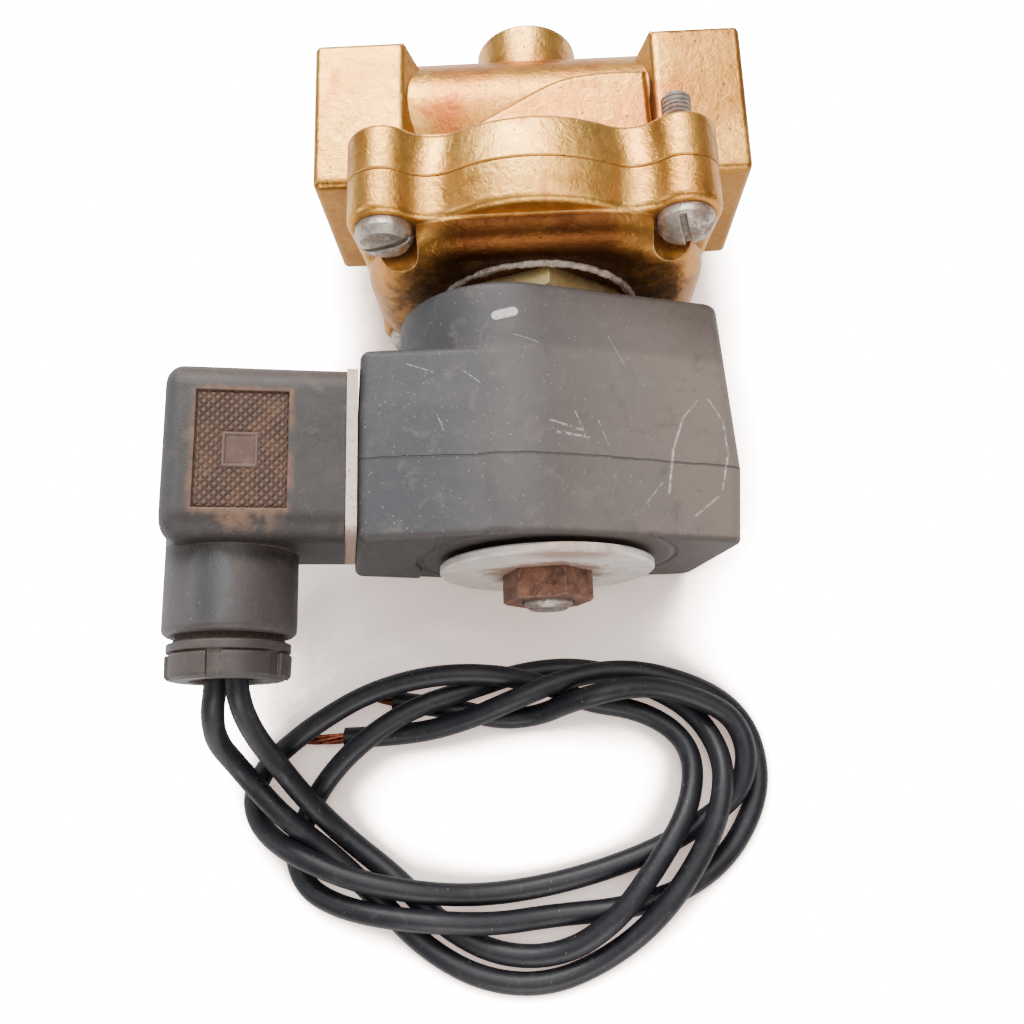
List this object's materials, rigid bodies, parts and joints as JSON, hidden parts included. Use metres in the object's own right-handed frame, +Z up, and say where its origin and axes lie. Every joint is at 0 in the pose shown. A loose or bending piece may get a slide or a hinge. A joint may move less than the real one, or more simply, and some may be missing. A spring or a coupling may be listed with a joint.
{
  "type": "solenoid valve",
  "caption": "Pilot-operated solenoid valve with two threaded ports, moulded coil, connector plug and two loose leads.",
  "frame": {"origin": "centre of the bottom face of the box around the valve without its leads; the valve lies on its side on Z = 0", "axes": "+Z up; +X along the ports' axis, from the inlet to the outlet; -Y towards the coil's nut, along the valve's length, which dips 6.2 degrees from level"},
  "size_m": [0.0984, 0.1652, 0.0527],
  "materials": {
    "brass_forging": "rough forged, tarnished golden brass",
    "cover_brass": "forged brass with a dark brown patina on the dome",
    "zinc_screws": "zinc plated, dull, a little rust",
    "diaphragm_rubber": "moulded nitrile",
    "inner_steel": "turned stainless steel",
    "brass_turned": "bright turned brass",
    "copper_ring": "plain copper",
    "coil_resin": "dark grey moulded thermoset, scuffed",
    "bobbin_nylon": "glass filled nylon",
    "copper_wire": "enamelled and bare copper",
    "washer_zinc": "zinc plated, off-white with rust stains",
    "nut_rust": "rust brown steel",
    "gasket": "beige flat gasket",
    "plug_nylon": "dark grey-brown glass filled nylon",
    "lead_pvc": "black PVC"
  },
  "bodies": {
    "valve": {"body": "brass_forging", "cover": "cover_brass", "cover_screws": "zinc_screws", "cover_screw_long": "zinc_screws", "tube_nut": "brass_turned", "tube_oring": "diaphragm_rubber", "core_tube": "inner_steel", "fixed_core": "inner_steel", "shading_ring": "copper_ring", "coil_housing": "coil_resin", "bobbin": "bobbin_nylon", "winding": "copper_wire", "yoke": "inner_steel", "coil_terminals": "brass_turned", "earth_terminal": "brass_turned", "screw_insert": "brass_turned", "coil_washer": "washer_zinc", "coil_nut": "nut_rust", "plug_gasket": "gasket", "plug_housing": "plug_nylon", "terminal_block": "bobbin_nylon", "terminal_screws": "zinc_screws", "plug_screw": "zinc_screws", "gland_grommet": "diaphragm_rubber", "gland_washer": "inner_steel", "gland_nut": "plug_nylon", "inner_wires": "lead_pvc", "lead_a": "lead_pvc", "lead_b": "lead_pvc", "copper_end_a": "copper_wire", "copper_end_b": "copper_wire"},
    "plunger": {"plunger": "inner_steel", "plunger_seal": "diaphragm_rubber", "plunger_spring": "inner_steel"},
    "main_valve": {"diaphragm": "diaphragm_rubber", "diaphragm_plate": "inner_steel", "pilot_nozzle": "brass_turned"}
  },
  "joints": [
    {"name": "plunger_slide", "type": "slide", "parent": "valve", "child": "plunger", "axis": [0, -0.9942, -0.108], "range_m": [0, 0.0045], "stiffness_N_per_m": 300, "springref_m": -0.004, "deforming": ["plunger_spring"]},
    {"name": "diaphragm_lift", "type": "slide", "parent": "valve", "child": "main_valve", "axis": [0, -0.9942, -0.108], "range_m": [0, 0.0032], "deforming": ["diaphragm"]}
  ],
  "couplings": [
    {"joint": "diaphragm_lift", "follows": "plunger_slide", "ratio": 0.711}
  ]
}
